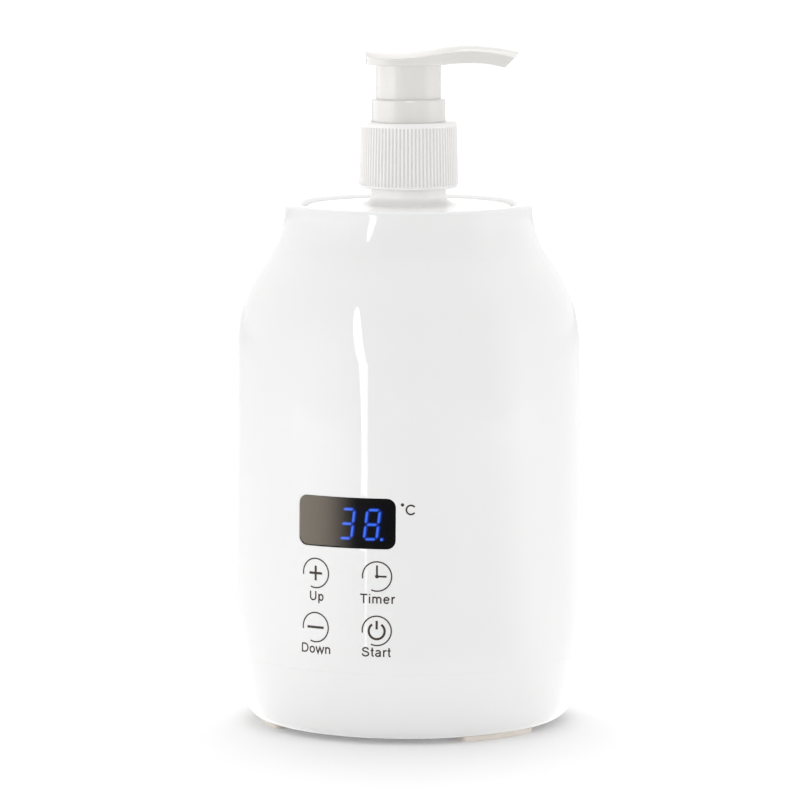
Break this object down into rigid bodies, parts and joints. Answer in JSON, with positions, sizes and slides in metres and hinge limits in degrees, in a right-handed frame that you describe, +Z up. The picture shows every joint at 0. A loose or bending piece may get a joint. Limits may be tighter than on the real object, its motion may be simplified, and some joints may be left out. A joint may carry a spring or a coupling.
{
  "type": "massage oil warmer",
  "caption": "Bottle-shaped electric warmer with a lit temperature display and touch keys, holding a lift-out oil bottle with a press-down pump.",
  "frame": {"origin": "on the table, under the middle of the base", "axes": "+Z up along the axis of the housing and the bottle, -Y out of the control panel, +X to the panel's right"},
  "size_m": [0.1204, 0.1204, 0.2304],
  "materials": {
    "gloss_white": "glossy moulded shell",
    "pump_white": "satin to glossy moulded pump parts",
    "bottle_white": "satin blown bottle",
    "smoked_window": "smoked glossy window",
    "digit_blue": "lit blue light pipes",
    "pad_cream": "matt cream foot pads",
    "steel": "zinc plated screws",
    "spring_steel": "drawn stainless wire and ball",
    "cup_aluminium": "drawn aluminium cup",
    "board_green": "solder mask on laminate",
    "black_plastic": "black moulded components",
    "grey_foam": "conductive foam",
    "clear_silicone": "soft silicone rubber",
    "film_amber": "amber heater film",
    "sleeve_felt": "glass-fibre felt",
    "support_ivory": "heat-proof moulding",
    "lead_red": "silicone-covered leads",
    "ribbon_grey": "flat ribbon cable",
    "pin_brass": "plated contact",
    "tube_natural": "natural polyethylene"
  },
  "bodies": {
    "warmer": {"housing_shell": "gloss_white", "base_bowl": "gloss_white", "foot_pads": "pad_cream", "base_screws": "steel", "display_window": "smoked_window", "display_module": "black_plastic", "digit_segments": "digit_blue", "control_board": "board_green", "control_chips": "black_plastic", "board_screws": "steel", "touch_pads": "grey_foam", "mouth_seal": "clear_silicone", "heating_cup": "cup_aluminium", "heater_film": "film_amber", "insulation_sleeve": "sleeve_felt", "cup_support": "support_ivory", "thermal_fuse": "support_ivory", "temperature_sensor": "black_plastic", "power_board": "board_green", "power_components": "black_plastic", "buzzer": "black_plastic", "power_board_screws": "steel", "power_jack": "black_plastic", "jack_pin": "pin_brass", "jack_nut": "steel", "heater_leads": "lead_red", "sensor_leads": "pin_brass", "ribbon_cable": "ribbon_grey"},
    "bottle": {"bottle": "bottle_white"},
    "pump": {"pump_collar": "pump_white", "pump_cylinder": "tube_natural", "stem_guide": "pump_white", "neck_gasket": "clear_silicone", "dip_tube": "tube_natural"},
    "cap": {"closure_cap": "pump_white"},
    "spring": {"return_spring": "spring_steel"},
    "actuator": {"pump_head": "pump_white", "pump_stem": "pump_white", "pump_piston": "tube_natural"},
    "ball": {"inlet_ball": "spring_steel"}
  },
  "joints": [
    {"name": "bottle_lift", "type": "slide", "parent": "warmer", "child": "bottle", "axis": [0, 0, 1], "range_m": [0, 0.16]},
    {"name": "pump_raise", "type": "slide", "parent": "bottle", "child": "pump", "axis": [0, 0, 1], "range_m": [0, 0.0064]},
    {"name": "cap_turn", "type": "hinge", "parent": "pump", "child": "cap", "pos_m": [0, 0, 0.19], "axis": [0, 0, 1], "range_deg": [0, 540]},
    {"name": "head_swivel", "type": "hinge", "parent": "pump", "child": "spring", "pos_m": [0, 0, 0.2], "axis": [0, 0, 1], "continuous": true},
    {"name": "pump_stroke", "type": "slide", "parent": "spring", "child": "actuator", "axis": [0, 0, -1], "range_m": [0, 0.009], "stiffness_N_per_m": 700, "springref_m": -0.012, "deforming": ["return_spring"]},
    {"name": "ball_lift", "type": "slide", "parent": "pump", "child": "ball", "axis": [0, 0, 1], "range_m": [0, 0.0015]}
  ],
  "couplings": [
    {"joint": "pump_raise", "follows": "cap_turn", "m_per_rad": 0.00066845}
  ]
}
